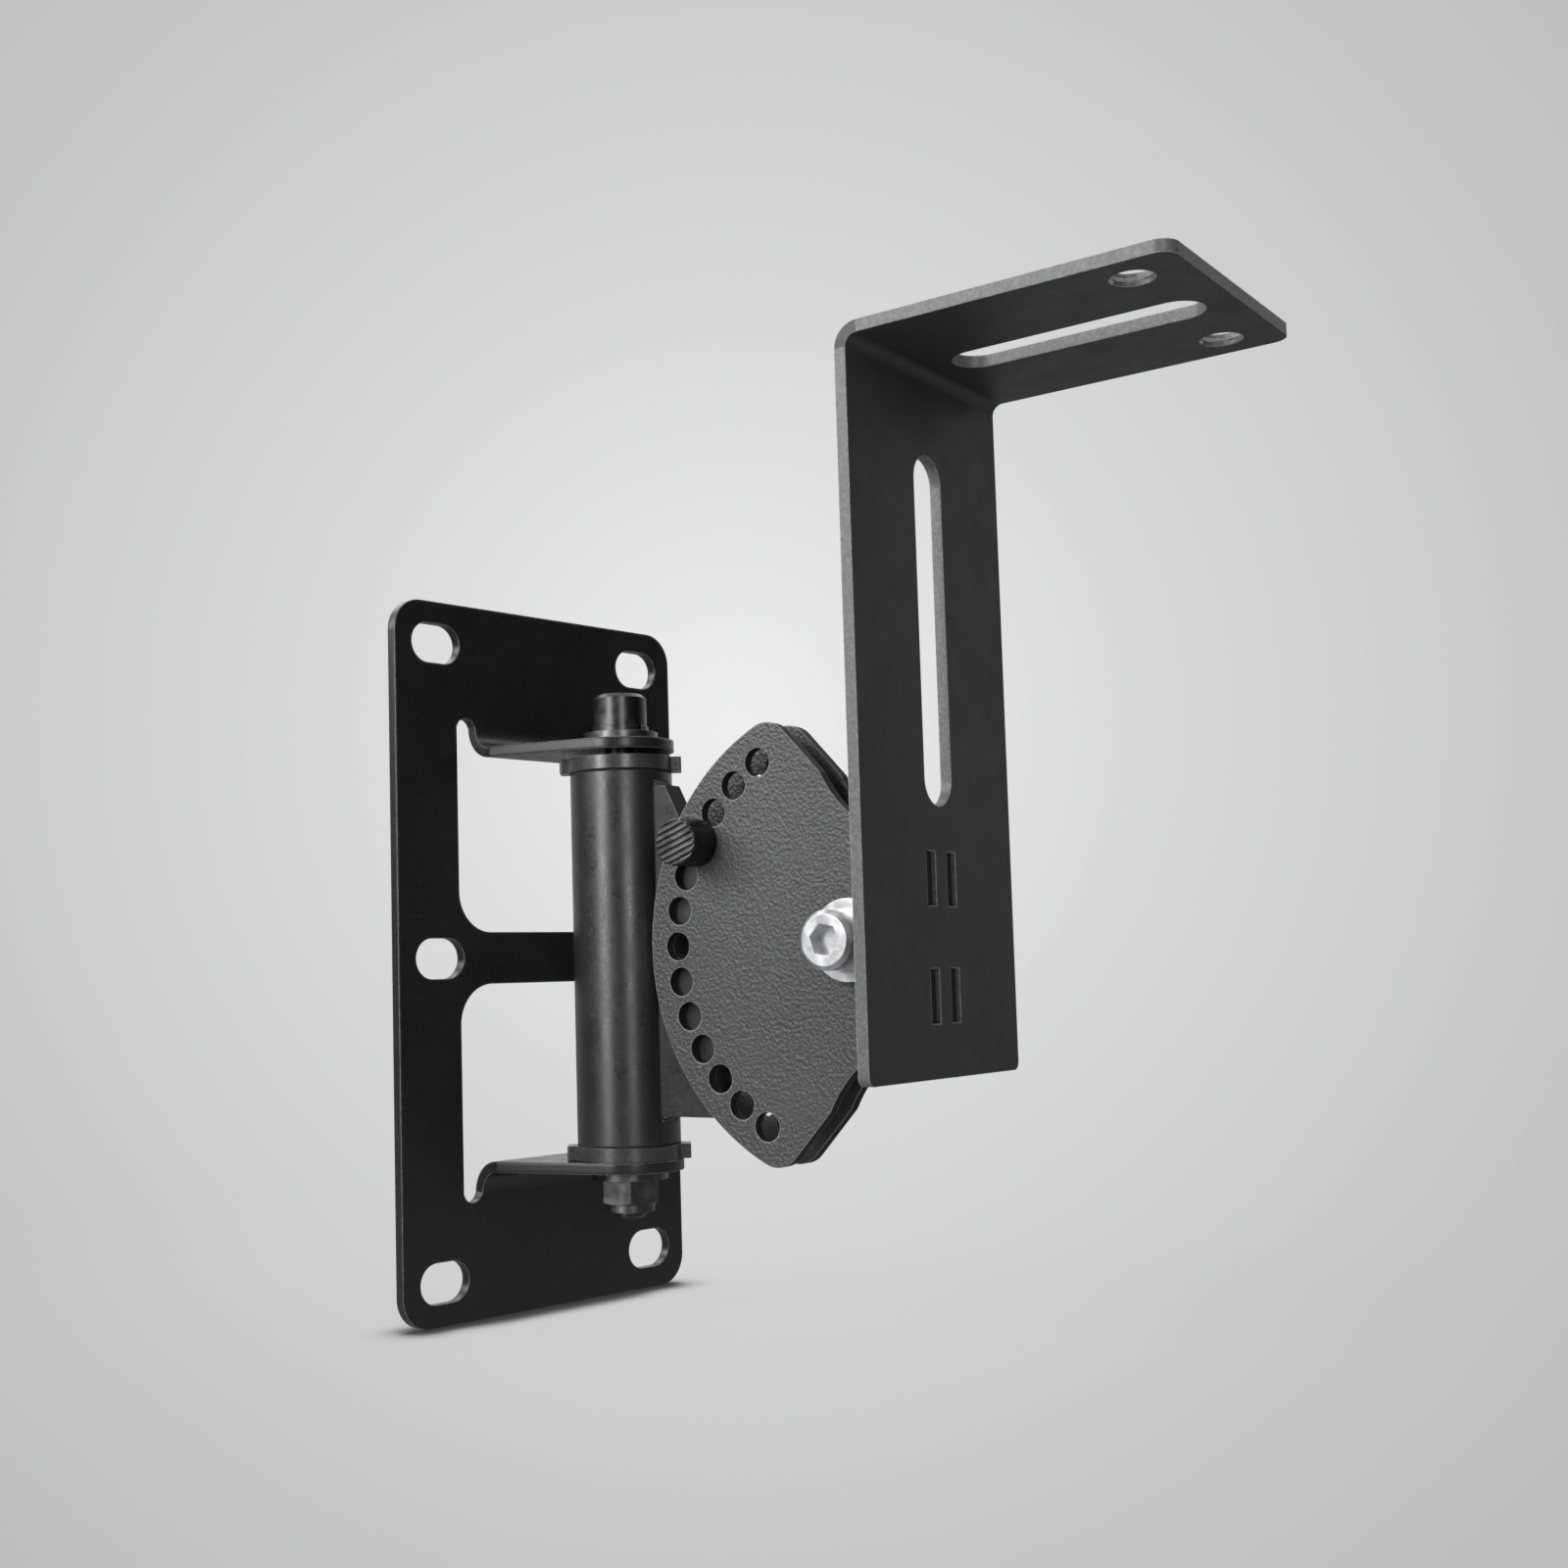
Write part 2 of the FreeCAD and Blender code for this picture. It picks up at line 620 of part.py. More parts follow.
def index_pin():
    # the headed pin in the fourth hole: it starts outside the near plate and points to +Y
    base = polar(pivot_x, pivot_z, index_radius, pin_angle) - Y_AXIS * sector_outer_y
    length = 2 * sector_outer_y + pin_point
    head_r = pin_head_diameter / 2
    e = pin_head_edge
    points = [(0, -pin_head_length), (head_r - e, -pin_head_length), (head_r, -pin_head_length + e),
              (head_r, 0), (pin_radius, 0), (pin_radius, length - pin_point_chamfer),
              (pin_radius - pin_point_chamfer, length), (0, length)]
    pin = revolved(points, base, Y_AXIS)
    # slanting grooves across the head's end
    turn = math.radians(pin_groove_turn)
    along = V(math.cos(turn), 0, math.sin(turn))
    across = V(-math.sin(turn), 0, math.cos(turn))
    end = base - Y_AXIS * pin_head_length
    for i in range(pin_groove_count):
        middle = end + across * ((i - (pin_groove_count - 1) / 2) * pin_groove_pitch) - along * head_r
        low = middle - across * pin_groove_width / 2
        high = middle + across * pin_groove_width / 2
        deep = middle + Y_AXIS * pin_groove_depth
        pin = pin.cut(prism([line(low, high), line(high, deep), line(deep, low)], along * pin_head_diameter))
    return swung(pin)


def build():
    pieces = {
        "wall_plate": wall_plate(),
        "upper_bush": bush(1),
        "lower_bush": bush(-1),
        "pivot_tube": pivot_tube(),
        "tongue_plate": tongue_plate(),
        "tongue_welds": tongue_welds(),
        "sector_plate_near": sector_plate(-1),
        "sector_plate_far": sector_plate(1),
        "sector_welds": sector_welds(),
        "speaker_angle": speaker_angle(),
        "index_pin": index_pin(),
    }
    pieces.update(hinge_hardware())
    pieces.update(tilt_hardware())
    return pieces


os.makedirs("parts", exist_ok=True)
for name, shape in build().items():
    if not shape.isValid():
        raise ValueError(name + " is not a valid solid")
    shape.exportStep("parts/" + name + ".step")
    box = shape.BoundBox
    print(name, len(shape.Solids), "solid(s)", round(shape.Volume, 1), "mm3",
          [round(v, 2) for v in (box.XMin, box.YMin, box.ZMin, box.XMax, box.YMax, box.ZMax)])
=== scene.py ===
import json
import math

import bpy
from mathutils import Matrix, Vector


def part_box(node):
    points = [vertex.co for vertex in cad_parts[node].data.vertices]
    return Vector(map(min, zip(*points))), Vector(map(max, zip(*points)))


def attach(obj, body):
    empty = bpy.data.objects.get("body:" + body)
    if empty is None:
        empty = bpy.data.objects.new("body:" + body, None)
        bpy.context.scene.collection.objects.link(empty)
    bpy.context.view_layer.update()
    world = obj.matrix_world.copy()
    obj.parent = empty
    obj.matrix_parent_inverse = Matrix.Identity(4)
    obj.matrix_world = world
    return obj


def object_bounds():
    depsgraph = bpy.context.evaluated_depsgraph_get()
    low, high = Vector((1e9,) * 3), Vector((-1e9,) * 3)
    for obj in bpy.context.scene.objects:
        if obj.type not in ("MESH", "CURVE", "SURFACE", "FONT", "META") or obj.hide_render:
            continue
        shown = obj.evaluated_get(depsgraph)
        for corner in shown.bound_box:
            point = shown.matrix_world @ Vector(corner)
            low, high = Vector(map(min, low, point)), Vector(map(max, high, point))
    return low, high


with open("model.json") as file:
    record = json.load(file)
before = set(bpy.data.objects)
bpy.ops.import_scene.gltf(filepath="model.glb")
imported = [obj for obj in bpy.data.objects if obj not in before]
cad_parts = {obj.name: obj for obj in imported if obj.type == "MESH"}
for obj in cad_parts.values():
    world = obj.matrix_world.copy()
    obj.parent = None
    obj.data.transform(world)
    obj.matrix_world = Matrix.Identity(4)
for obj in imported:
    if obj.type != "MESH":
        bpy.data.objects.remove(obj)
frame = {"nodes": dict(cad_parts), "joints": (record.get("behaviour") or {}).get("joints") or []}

bl_info = {
    "name": "Speaker wall bracket",
    "version": (1, 0, 0),
    "blender": (4, 5, 0),
    "location": "View3D > Sidebar > Bracket",
    "description": "Finishes and small details of a swivelling, tilting speaker wall bracket",
    "category": "Object",
}

CAD_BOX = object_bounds()
MM = 0.001

# Places and directions that the joints give

JOINTS = {joint["name"]: joint for joint in frame["joints"]}
TUBE_AXIS = Vector(JOINTS["swivel_hinge"]["pos_m"])
PIVOT = Vector(JOINTS["tilt_hinge"]["pos_m"])
TILT_AXIS = Vector(JOINTS["tilt_hinge"]["axis"])
SWIVEL = math.atan2(-TILT_AXIS.x, TILT_AXIS.y)
ARM_OUT = Vector((math.cos(SWIVEL), math.sin(SWIVEL), 0.0))
UP = Vector((0.0, 0.0, 1.0))

# Sizes of the solids, as the part's source sets them

SHEET = 2.0 * MM
FOLD = 4.0 * MM
EAR_FROM_WALL = 6.0 * MM
LEG_FROM_PIVOT = 13.0 * MM
SHELF_HOLE_OUT = 47.0 * MM
SHELF_HOLE_ASIDE = 17.6 * MM
TONGUE_HALF = 2.25 * MM
SECTOR_INNER = 2.35 * MM
PIN_END = -11.35 * MM
TILT_NUT_END = 11.85 * MM

# Threads: a ridge from its root to its crest, and the heights that its middle line goes between.
# The ridge is wound from a triangle, whose radius is a share of the pitch and which is 1.5 radii deep.

SHELF_THREAD = {"root": 3.45 * MM, "crest": 3.05 * MM, "pitch": 0.75 * MM,
                "low": 0.4 * MM, "high": SHEET - 0.4 * MM}
BOLT_THREAD = {"root": 2.85 * MM, "crest": 3.12 * MM, "pitch": 1.0 * MM,
               "low": -1.0 * MM, "high": 0.35 * MM}
RIDGE_RADIUS = 0.56
TRIANGLE_DEPTH = 1.5
STEPS_PER_TURN = 64
SMOOTH_ANGLE = math.radians(25.0)

# Finishes: how far under a sheet's face its cut edge starts, the usual range of a noise pattern,
# how far a rounded edge has to turn to count as a rim, and the little more blue in every grey

SKIN = 0.03 * MM
SKIN_SOFT = 0.05 * MM
NOISE_LOW, NOISE_HIGH = 0.3, 0.7
RIM_FROM, RIM_TO = 0.02, 0.22
EDGE_SAMPLES = 6
COOL = 1.01

# Stage

SENSOR = 36.0
CLIP_START = 0.01
FLOOR_SIZE = 8.0
FLOOR_DROP = 0.2 * MM
FLOOR_MIRRORED = 0.4
FLOOR_LIT_SHARE = 0.06
FLOOR_LIT_FROM, FLOOR_LIT_TO = 60.0 * MM, 240.0 * MM
CONTACT_DISTANCE = 10.0 * MM
CONTACT_SAMPLES = 12
CONTACT_FROM, CONTACT_TO, CONTACT_DARK = 0.66, 0.97, 0.95
DOME_RADIUS = 3.6
GLOW_ACROSS, GLOW_UP = 0.03, 0.05
GLOW_ANGLE = math.radians(31.0)
GLOW_BEND_AT, GLOW_BEND = 0.38, 0.47
DUSK_FROM, DUSK_TO, DUSK_LEFT = math.radians(38.0), math.radians(84.0), 0.03
WORLD_STRENGTH = 0.25
LAMP_TARGET = Vector((0.05, 0.0, 0.0))

# Each lamp's name, place, width and height, and power in watts

LAMPS = (
    ("key", (-0.58, -0.84, 0.60), (0.8, 0.6), 10.0),
    ("left_strip", (0.02, -0.95, 0.25), (0.28, 0.9), 6.5),
    ("right_strip", (0.82, -0.52, 0.20), (0.20, 0.9), 3.0),
    ("top", (0.15, 0.1, 1.1), (0.8, 0.8), 2.0),
    ("behind", (-0.75, 0.15, 0.85), (0.7, 0.7), 3.0),
    ("far_side", (-0.15, 0.85, 0.85), (0.7, 0.7), 2.0),
)


# Shader maths

class Value:
    """A shader socket that can be used in Python expressions."""

    def __init__(self, tree, socket):
        self.tree = tree
        self.socket = socket

    def _math(self, operation, other, swap=False):
        a, b = (other, self) if swap else (self, other)
        return self.tree.node("ShaderNodeMath", {"operation": operation}, {0: a, 1: b})

    def __add__(self, other):
        return self._math("ADD", other)

    __radd__ = __add__

    def __sub__(self, other):
        return self._math("SUBTRACT", other)

    def __rsub__(self, other):
        return self._math("SUBTRACT", other, True)

    def __mul__(self, other):
        return self._math("MULTIPLY", other)

    __rmul__ = __mul__

    def __truediv__(self, other):
        return self._math("DIVIDE", other)

    def __rtruediv__(self, other):
        return self._math("DIVIDE", other, True)

    def __abs__(self):
        return self._math("ABSOLUTE", 0.0)

    def maximum(self, other):
        return self._math("MAXIMUM", other)


class Tree:
    """A material's nodes, added one call at a time."""

    def __init__(self, material):
        self.nodes = material.node_tree.nodes
        self.links = material.node_tree.links
        self.nodes.clear()

    def node(self, kind, settings=None, sockets=None, out=0):
        made = self.nodes.new(kind)
        for key, value in (settings or {}).items():
            if key == "stops":
                self._stops(made.color_ramp, value)
            else:
                setattr(made, key, value)
        for key, value in (sockets or {}).items():
            self.put(made.inputs[key], value)
        return Value(self, made.outputs[out])

    def put(self, socket, value):
        if isinstance(value, Value):
            self.links.new(value.socket, socket)
        else:
            socket.default_value = value

    def _stops(self, ramp, stops):
        while len(ramp.elements) > 1:
            ramp.elements.remove(ramp.elements[0])
        for index, (place, colour) in enumerate(stops):
            element = ramp.elements[0] if index == 0 else ramp.elements.new(place)
            element.position = place
            element.color = colour

    def coordinates(self):
        return self.node("ShaderNodeTexCoord", out="Object")

    def turned(self, coordinates, origin, angle):
        """Coordinates measured from an origin, along axes turned about the vertical."""
        return self.node("ShaderNodeMapping", {"vector_type": "TEXTURE"},
                         {"Vector": coordinates, "Location": origin, "Rotation": (0.0, 0.0, angle)})

    def along_arm(self, coordinates):
        """Coordinates from the tube's axis, X out along the arm and Y along the tilt bolt."""
        return self.turned(coordinates, TUBE_AXIS, SWIVEL)

    def axis(self, vector, letter):
        return self.node("ShaderNodeSeparateXYZ", None, {0: vector}, letter)

    def noise(self, coordinates, scale, detail=3.0, roughness=0.6, distortion=0.0):
        return self.node("ShaderNodeTexNoise", None,
                         {"Vector": coordinates, "Scale": scale, "Detail": detail,
                          "Roughness": roughness, "Distortion": distortion})

    def step(self, value, low, high, to_low=0.0, to_high=1.0):
        return self.node("ShaderNodeMapRange", {"interpolation_type": "SMOOTHSTEP"},
                         {"Value": value, "From Min": low, "From Max": high,
                          "To Min": to_low, "To Max": to_high})

    def vary(self, pattern, low, high):
        """The usual range of a noise pattern, spread from a low value to a high one."""
        return self.step(pattern, NOISE_LOW, NOISE_HIGH, low, high)

    def in_sheet(self, value, low, high):
        """1 where a value lies between a sheet's two faces, and 0 on the faces."""
        rising = self.step(value, low + SKIN, low + SKIN + SKIN_SOFT)
        falling = self.step(value, high - SKIN - SKIN_SOFT, high - SKIN, 1.0, 0.0)
        return rising * falling

    def mix(self, factor, first, second):
        return self.node("ShaderNodeMix", {"data_type": "RGBA"}, {0: factor, 6: first, 7: second}, 2)

    def tint(self, level, cool=COOL):
        """A grey of a level that varies, with a little more blue."""
        return self.node("ShaderNodeCombineColor", None, {0: level, 1: level, 2: level * cool})

    def vector(self, operation, first, second=None, out="Vector"):
        sockets = {0: first} if second is None else {0: first, 1: second}
        return self.node("ShaderNodeVectorMath", {"operation": operation}, sockets, out)

    def bump(self, height, distance, strength, rounding):
        """The surface's own direction, roughened and rounded over its edges."""
        return self.node("ShaderNodeBump", None,
                         {"Height": height, "Distance": distance, "Strength": strength,
                          "Normal": self.soft_edges(rounding)})

    def soft_edges(self, radius):
        return self.node("ShaderNodeBevel", {"samples": EDGE_SAMPLES}, {"Radius": radius})

    def rim(self, radius):
        """1 where the surface turns over an edge of the piece."""
        flat = self.node("ShaderNodeNewGeometry", out="True Normal")
        along = self.vector("DOT_PRODUCT", self.soft_edges(radius), flat, "Value")
        return self.step(1 - along, RIM_FROM, RIM_TO)

    def glow(self, colour, strength=1.0):
        return self.node("ShaderNodeEmission", None, {"Color": colour, "Strength": strength})

    def either(self, factor, first, second):
        """The first shader, and the second one by the factor."""
        return self.node("ShaderNodeMixShader", None, {0: factor, 1: first, 2: second})

    def surface(self, sockets):
        self.finish(self.node("ShaderNodeBsdfPrincipled", None, sockets))

    def finish(self, shader):
        output = self.nodes.new("ShaderNodeOutputMaterial")
        self.links.new(shader.socket, output.inputs["Surface"])


def new_material(name):
    material = bpy.data.materials.new(name)
    material.use_nodes = True
    return material, Tree(material)


def grey(level):
    return (level, level, level * COOL, 1.0)


def blend(mask, off, on):
    """One value where the mask is 0 and another where it is 1."""
    return off * (1 - mask) + on * mask


# Where each sheet's cut edges lie

def plate_edges(tree, place):
    """1 on the cut edges of the wall plate and of its ears."""
    out, height = tree.axis(place, "X"), abs(tree.axis(place, "Z"))
    ear_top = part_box("hinge_washer_top")[0].z
    on_ear = tree.step(out, EAR_FROM_WALL, EAR_FROM_WALL + 0.2 * MM)
    return blend(on_ear, tree.in_sheet(out, 0.0, SHEET), tree.in_sheet(height, ear_top - SHEET, ear_top))


def angle_edges(tree, place):
    """1 on the cut edges of the angle's leg and shelf."""
    out, height = tree.axis(tree.along_arm(place), "X"), tree.axis(place, "Z")
    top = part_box("speaker_angle")[1].z
    back = (PIVOT - TUBE_AXIS).xy.length + LEG_FROM_PIVOT
    below_fold = tree.step(height, top - FOLD, top - FOLD + 0.1 * MM, 1.0, 0.0)
    past_fold = tree.step(out, back + FOLD, back + FOLD + 0.1 * MM)
    leg = tree.in_sheet(out, back, back + SHEET) * below_fold
    shelf = tree.in_sheet(height, top - SHEET, top) * past_fold
    return leg + shelf


def tongue_edges(tree, place):
    """1 on the cut edges of the tongue plate."""
    aside = abs(tree.axis(tree.along_arm(place), "Y"))
    return tree.step(aside, TONGUE_HALF - SKIN - SKIN_SOFT, TONGUE_HALF - SKIN, 1.0, 0.0)


def sector_edges(tree, place):
    """1 on the cut edges and in the holes of the sector plates."""
    aside = abs(tree.axis(tree.along_arm(place), "Y"))
    return tree.in_sheet(aside, SECTOR_INNER, SECTOR_INNER + SHEET)


def tube_end_shade(tree, place):
    """1 on the lines of painted shade where the tube meets the bushes' flanges."""
    low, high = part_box("pivot_tube")
    middle, half = (low.z + high.z) / 2, (high.z - low.z) / 2
    return tree.step(abs(tree.axis(place, "Z") - middle), half - 0.5 * MM, half - 0.35 * MM)


def pin_end(tree, place):
    """1 on the ridged end of the index pin's head, with the grooves left dark."""
    aside = tree.axis(tree.along_arm(place), "Y")
    return tree.step(aside, PIN_END + 0.02 * MM, PIN_END + 0.22 * MM, 1.0, 0.0)


# Finishes

def powder_coat(name, tone, edge_tone, cut, roughness, rim, grain=1500.0, grain_height=0.012 * MM,
                edge_roughness=0.42, gloss=0.5, rounding=0.3 * MM):
    """Black powder coat with painted highlights on its rims: cut(tree, place) gives 1 on the edges that
    have a tone of their own.
    """
    material, tree = new_material(name)
    place = tree.coordinates()
    fine = tree.noise(place, grain, detail=4.0, roughness=0.62)
    speck = tree.noise(place, grain * 0.8, detail=2.0, roughness=0.8)
    cloud = tree.noise(place, 38.0, detail=2.0, roughness=0.5)
    smudge = tree.noise(place, 170.0, detail=2.0, roughness=0.5)
    on_edge = cut(tree, place)
    face = tree.vary(cloud, tone * 0.9, tone * 1.12) + tree.step(fine, 0.58, 0.8, 0.0, tone * 0.22)
    edge = tree.step(speck, 0.36, 0.7, edge_tone * 0.75, edge_tone * 1.25)
    # Painted highlight: the rims are lightened in the base colour, by the rim parameter.
    rim_highlight = tree.rim(0.3 * MM) * tree.vary(speck, rim * 0.6, rim * 1.3)
    rough = tree.vary(fine, roughness - 0.05, roughness + 0.06) + tree.vary(smudge, -0.035, 0.035)
    tree.surface({"Base Color": tree.tint(blend(on_edge, face, edge) + rim_highlight),
                  "Roughness": blend(on_edge, rough, edge_roughness),
                  "Normal": tree.bump(fine, grain_height, strength=0.5, rounding=rounding),
                  "Specular IOR Level": gloss})
    return material


def wrinkle_coat(name, rounding=0.45 * MM):
    """Coarse wrinkled coat, with painted shade on its cut edges and in its holes, and painted highlights
    on its rims.
    """
    material, tree = new_material(name)
    place = tree.coordinates()
    cells = tree.node("ShaderNodeTexVoronoi", {"feature": "SMOOTH_F1"},
                      {"Vector": place, "Scale": 1750.0, "Smoothness": 0.6, "Randomness": 1.0})
    coarse = tree.noise(place, 1550.0, roughness=0.55, distortion=0.6)
    fine = tree.noise(place, 3800.0, detail=2.0)
    cloud = tree.noise(place, 30.0, detail=2.0, roughness=0.5)
    on_edge = sector_edges(tree, place)
    face = tree.vary(coarse, 0.036, 0.054) * tree.vary(cloud, 0.9, 1.1)
    # Painted highlight: the rims are lightened in the base colour.
    rim_highlight = tree.rim(rounding) * 0.28
    height = cells * 0.8 + coarse * 0.6 + fine * 0.1
    # Painted shade: the cut edges and the holes are near black.
    tree.surface({"Base Color": tree.tint(blend(on_edge, face + rim_highlight, 0.005)),
                  "Roughness": blend(on_edge, tree.vary(fine, 0.36, 0.48), 0.75),
                  "Normal": tree.bump(height, 0.17 * MM, strength=0.9, rounding=rounding)})
    return material


def weld_bead(name, tone, roughness, ripple=0.9 * MM):
    """Coated weld with the ripples that the torch leaves along the bead."""
    material, tree = new_material(name)
    place = tree.coordinates()
    wander = tree.noise(place, 900.0, detail=2.0, roughness=0.5)
    along = tree.axis(place, "Z") + wander * 0.5 * MM
    wave = tree.node("ShaderNodeMath", {"operation": "SINE"}, {0: along * (2 * math.pi / ripple)})
    height = wave * 0.5 + wander * 0.4
    tree.surface({"Base Color": tree.tint(tree.step(wave, -1.0, 1.0, tone * 0.8, tone * 1.3)),
                  "Roughness": tree.vary(wander, roughness - 0.04, roughness + 0.06),
                  "Normal": tree.bump(height, 0.14 * MM, strength=0.9, rounding=0.4 * MM)})
    return material


def black_oxide(name, tone=0.075, roughness=0.34, rim=0.12, bare=None):
    """Oiled black steel with painted highlights on its rims: bare(tree, place) gives 1 where it is
    rubbed to grey.
    """
    material, tree = new_material(name)
    place = tree.coordinates()
    fine = tree.noise(place, 2600.0)
    smear = tree.noise(place, 260.0)
    # Painted highlight: the rims are lightened in the base colour, by the rim parameter.
    level = tree.step(smear, 0.3, 0.75, tone * 0.75, tone * 1.6) + tree.rim(0.2 * MM) * rim
    if bare is not None:
        level = level + bare(tree, place) * tree.vary(smear, 0.02, 0.09)
    tree.surface({"Base Color": tree.tint(level, 1.02),
                  "Roughness": tree.vary(smear, roughness - 0.06, roughness + 0.08),
                  "Metallic": 0.95,
                  "Normal": tree.bump(fine, 0.006 * MM, strength=0.6, rounding=0.2 * MM)})
    return material


def cut_thread_steel():
    """Bare steel of a cut thread, with smears that vary its tone and roughness."""
    material, tree = new_material("cut_thread_steel")
    smear = tree.noise(tree.coordinates(), 500.0)
    tree.surface({"Base Color": tree.tint(tree.vary(smear, 0.42, 0.72)),
                  "Roughness": tree.vary(smear, 0.22, 0.36),
                  "Metallic": 0.8,
                  "Normal": tree.bump(smear, 0.01 * MM, strength=0.5, rounding=0.08 * MM)})
    return material


def bright_zinc():
    """Bright zinc plate with a brushed grain round the tilt bolt's axis and dull patches."""
    material, tree = new_material("bright_zinc")
    place = tree.turned(tree.coordinates(), PIVOT, SWIVEL)
    stretched = tree.node("ShaderNodeMapping", None, {"Vector": place, "Scale": (1.0, 9.0, 1.0)})
    brush = tree.noise(stretched, 1400.0)
    patch = tree.noise(place, 420.0)
    tree.surface({"Base Color": tree.mix(tree.step(patch, 0.36, 0.7), grey(0.66), grey(0.90)),
                  "Roughness": tree.vary(patch, 0.30, 0.38),
                  "Metallic": 0.9,
                  "Normal": tree.bump(brush, 0.01 * MM, strength=0.5, rounding=0.15 * MM)})
    return material


def black_nylon(name, tone, roughness, gloss=0.5):
    """Moulded nylon with a faint flow pattern."""
    material, tree = new_material(name)
    place = tree.coordinates()
    fine = tree.noise(place, 1800.0)
    cloud = tree.noise(place, 150.0, detail=2.0, roughness=0.5)
    tree.surface({"Base Color": tree.tint(tree.vary(cloud, tone * 0.85, tone * 1.2)),
                  "Roughness": tree.vary(fine, roughness - 0.05, roughness + 0.05),
                  "Normal": tree.bump(fine, 0.01 * MM, strength=0.6, rounding=0.2 * MM),
                  "Specular IOR Level": gloss})
    return material


def dress(nodes, material):
    """Gives the named nodes one material."""
    for name in nodes:
        mesh = frame["nodes"][name].data
        mesh.materials.clear()
        mesh.materials.append(material)


# Settings

class BracketFinish(bpy.types.PropertyGroup):
    """Tones of the bracket's coats"""

    plate_tone: bpy.props.FloatProperty(
        name="Wall plate", description="Tone of the wall plate's coat",
        default=0.011, min=0.0, max=1.0, subtype="FACTOR")
    plate_cut_tone: bpy.props.FloatProperty(
        name="Wall plate's edges", description="Tone of the wall plate's cut edges",
        default=0.014, min=0.0, max=1.0, subtype="FACTOR")
    angle_tone: bpy.props.FloatProperty(
        name="Angle", description="Tone of the speaker angle's coat",
        default=0.027, min=0.0, max=1.0, subtype="FACTOR")
    angle_cut_tone: bpy.props.FloatProperty(
        name="Angle's edges", description="Tone of the speaker angle's cut edges",
        default=0.10, min=0.0, max=1.0, subtype="FACTOR")
    hinge_tone: bpy.props.FloatProperty(
        name="Hinge", description="Tone of the tube's and the tongue's coat",
        default=0.012, min=0.0, max=1.0, subtype="FACTOR")
    weld_tone: bpy.props.FloatProperty(
        name="Welds", description="Tone of the weld beads on the angle",
        default=0.05, min=0.0, max=1.0, subtype="FACTOR")


class BracketStage(bpy.types.PropertyGroup):
    """Camera and backdrop"""

    focal_length: bpy.props.FloatProperty(
        name="Focal length", description="Camera lens, in mm on a 36 mm frame",
        default=43.0775, unit="CAMERA")
    azimuth: bpy.props.FloatProperty(
        name="Azimuth", description="Camera's turn about the vertical",
        default=math.radians(44.3228), subtype="ANGLE", unit="ROTATION")
    elevation: bpy.props.FloatProperty(
        name="Elevation", description="How far the camera looks upwards",
        default=math.radians(4.67), subtype="ANGLE", unit="ROTATION")
    roll: bpy.props.FloatProperty(
        name="Roll", description="Camera's roll",
        default=math.radians(-1.4708), subtype="ANGLE", unit="ROTATION")
    place: bpy.props.FloatVectorProperty(
        name="Camera place", description="Camera's place",
        default=(0.275427, -0.242482, -0.00384), subtype="TRANSLATION", unit="LENGTH", precision=4)
    shift: bpy.props.FloatVectorProperty(
        name="Shift", description="Sideways and upward shift of the picture",
        default=(0.067553, 0.023082), size=2)
    middle_tone: bpy.props.FloatProperty(
        name="Middle tone", description="Backdrop tone behind the bracket",
        default=0.86, min=0.0, max=1.0, subtype="FACTOR")
    corner_tone: bpy.props.FloatProperty(
        name="Corner tone", description="Backdrop tone in the corners",
        default=0.51, min=0.0, max=1.0, subtype="FACTOR")


# Coats and hardware

class BRACKET_OT_coats(bpy.types.Operator):
    """Coats of the wall plate, the angle, the hinge, the sector plates and the welds"""

    bl_idname = "bracket.coats"
    bl_label = "Coats"

    def execute(self, context):
        finish = context.scene.bracket_finish
        dress(["wall_plate"], powder_coat(
            "plate_satin_coat", finish.plate_tone, finish.plate_cut_tone, plate_edges, roughness=0.30,
            rim=0.3, grain_height=0.006 * MM, edge_roughness=0.30, gloss=0.55, rounding=0.8 * MM))
        dress(["speaker_angle"], powder_coat(
            "angle_satin_coat", finish.angle_tone, finish.angle_cut_tone, angle_edges, roughness=0.5,
            rim=0.35, grain=1700.0))
        # Painted shade: the tongue's cut edges are near black.
        dress(["tongue_plate"], powder_coat(
            "hinge_satin_coat", finish.hinge_tone, edge_tone=0.003, cut=tongue_edges, roughness=0.34,
            rim=0.06, edge_roughness=0.9, gloss=0.9))
        # Painted shade: near-black lines at the tube's two ends, in the gaps under the bushes' flanges.
        dress(["pivot_tube"], powder_coat(
            "tube_satin_coat", finish.hinge_tone, edge_tone=0.001, cut=tube_end_shade, roughness=0.34,
            rim=0.0, edge_roughness=0.95, gloss=0.9))
        dress(["sector_plate_near", "sector_plate_far"], wrinkle_coat("sector_wrinkle_coat"))
        dress(["tongue_welds"], weld_bead("hinge_weld_bead", finish.hinge_tone * 1.6, roughness=0.36))
        dress(["sector_welds"], weld_bead("sector_weld_bead", finish.weld_tone, roughness=0.42))
        return {"FINISHED"}


class BRACKET_OT_hardware(bpy.types.Operator):
    """Finishes of the bolts, washers, nuts, bushes and the index pin"""

    bl_idname = "bracket.hardware"
    bl_label = "Hardware"

    def execute(self, context):
        dress(["hinge_bolt", "hinge_lock_washer"], black_oxide("black_oxide"))
        dress(["hinge_washer_top", "hinge_washer_bottom"],
              black_oxide("washer_black", tone=0.12, roughness=0.32))
        dress(["hinge_nut"], black_oxide("nut_black", tone=0.13))
        dress(["index_pin"], black_oxide("pin_black", tone=0.05, roughness=0.40, rim=0.3, bare=pin_end))
        dress(["tilt_bolt", "tilt_lock_washer", "tilt_washer_near", "tilt_washer_far", "tilt_nut"],
              bright_zinc())
        dress(["upper_bush", "lower_bush"],
              black_nylon("bush_nylon", tone=0.03, roughness=0.30, gloss=0.9))
        dress(["hinge_nut_ring", "tilt_nut_ring"], black_nylon("ring_nylon", tone=0.02, roughness=0.45))
        return {"FINISHED"}


# Threads

